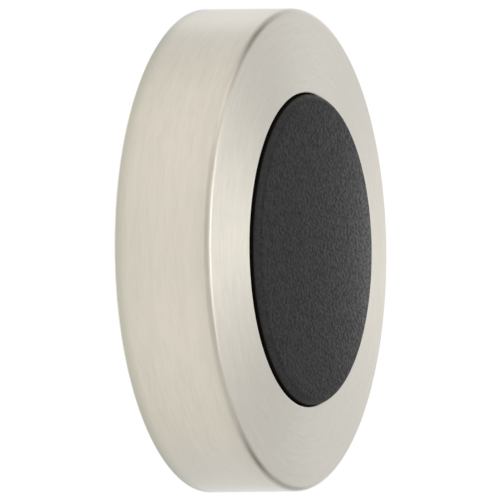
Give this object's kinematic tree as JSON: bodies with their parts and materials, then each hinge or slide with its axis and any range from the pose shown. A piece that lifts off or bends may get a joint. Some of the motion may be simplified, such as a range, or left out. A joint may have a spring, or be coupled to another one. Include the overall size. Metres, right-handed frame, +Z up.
{
  "type": "wall door stop",
  "caption": "Round wall door stop: a low brushed metal housing with a hollow ribbed back and a black rubber buffer set in its front.",
  "frame": {"origin": "where the axis of the round body and its screw hole meets the wall plane, on the back of the housing", "axes": "+Y out of the back into the wall, -Y out of the striking face into the room, +Z up"},
  "size_m": [0.06, 0.0144, 0.06],
  "materials": {
    "satin_metal": "satin, fine circular brushing",
    "buffer_rubber": "matte, fine moulded grain"
  },
  "bodies": {
    "root": {"housing": "satin_metal", "buffer": "buffer_rubber"}
  },
  "joints": []
}
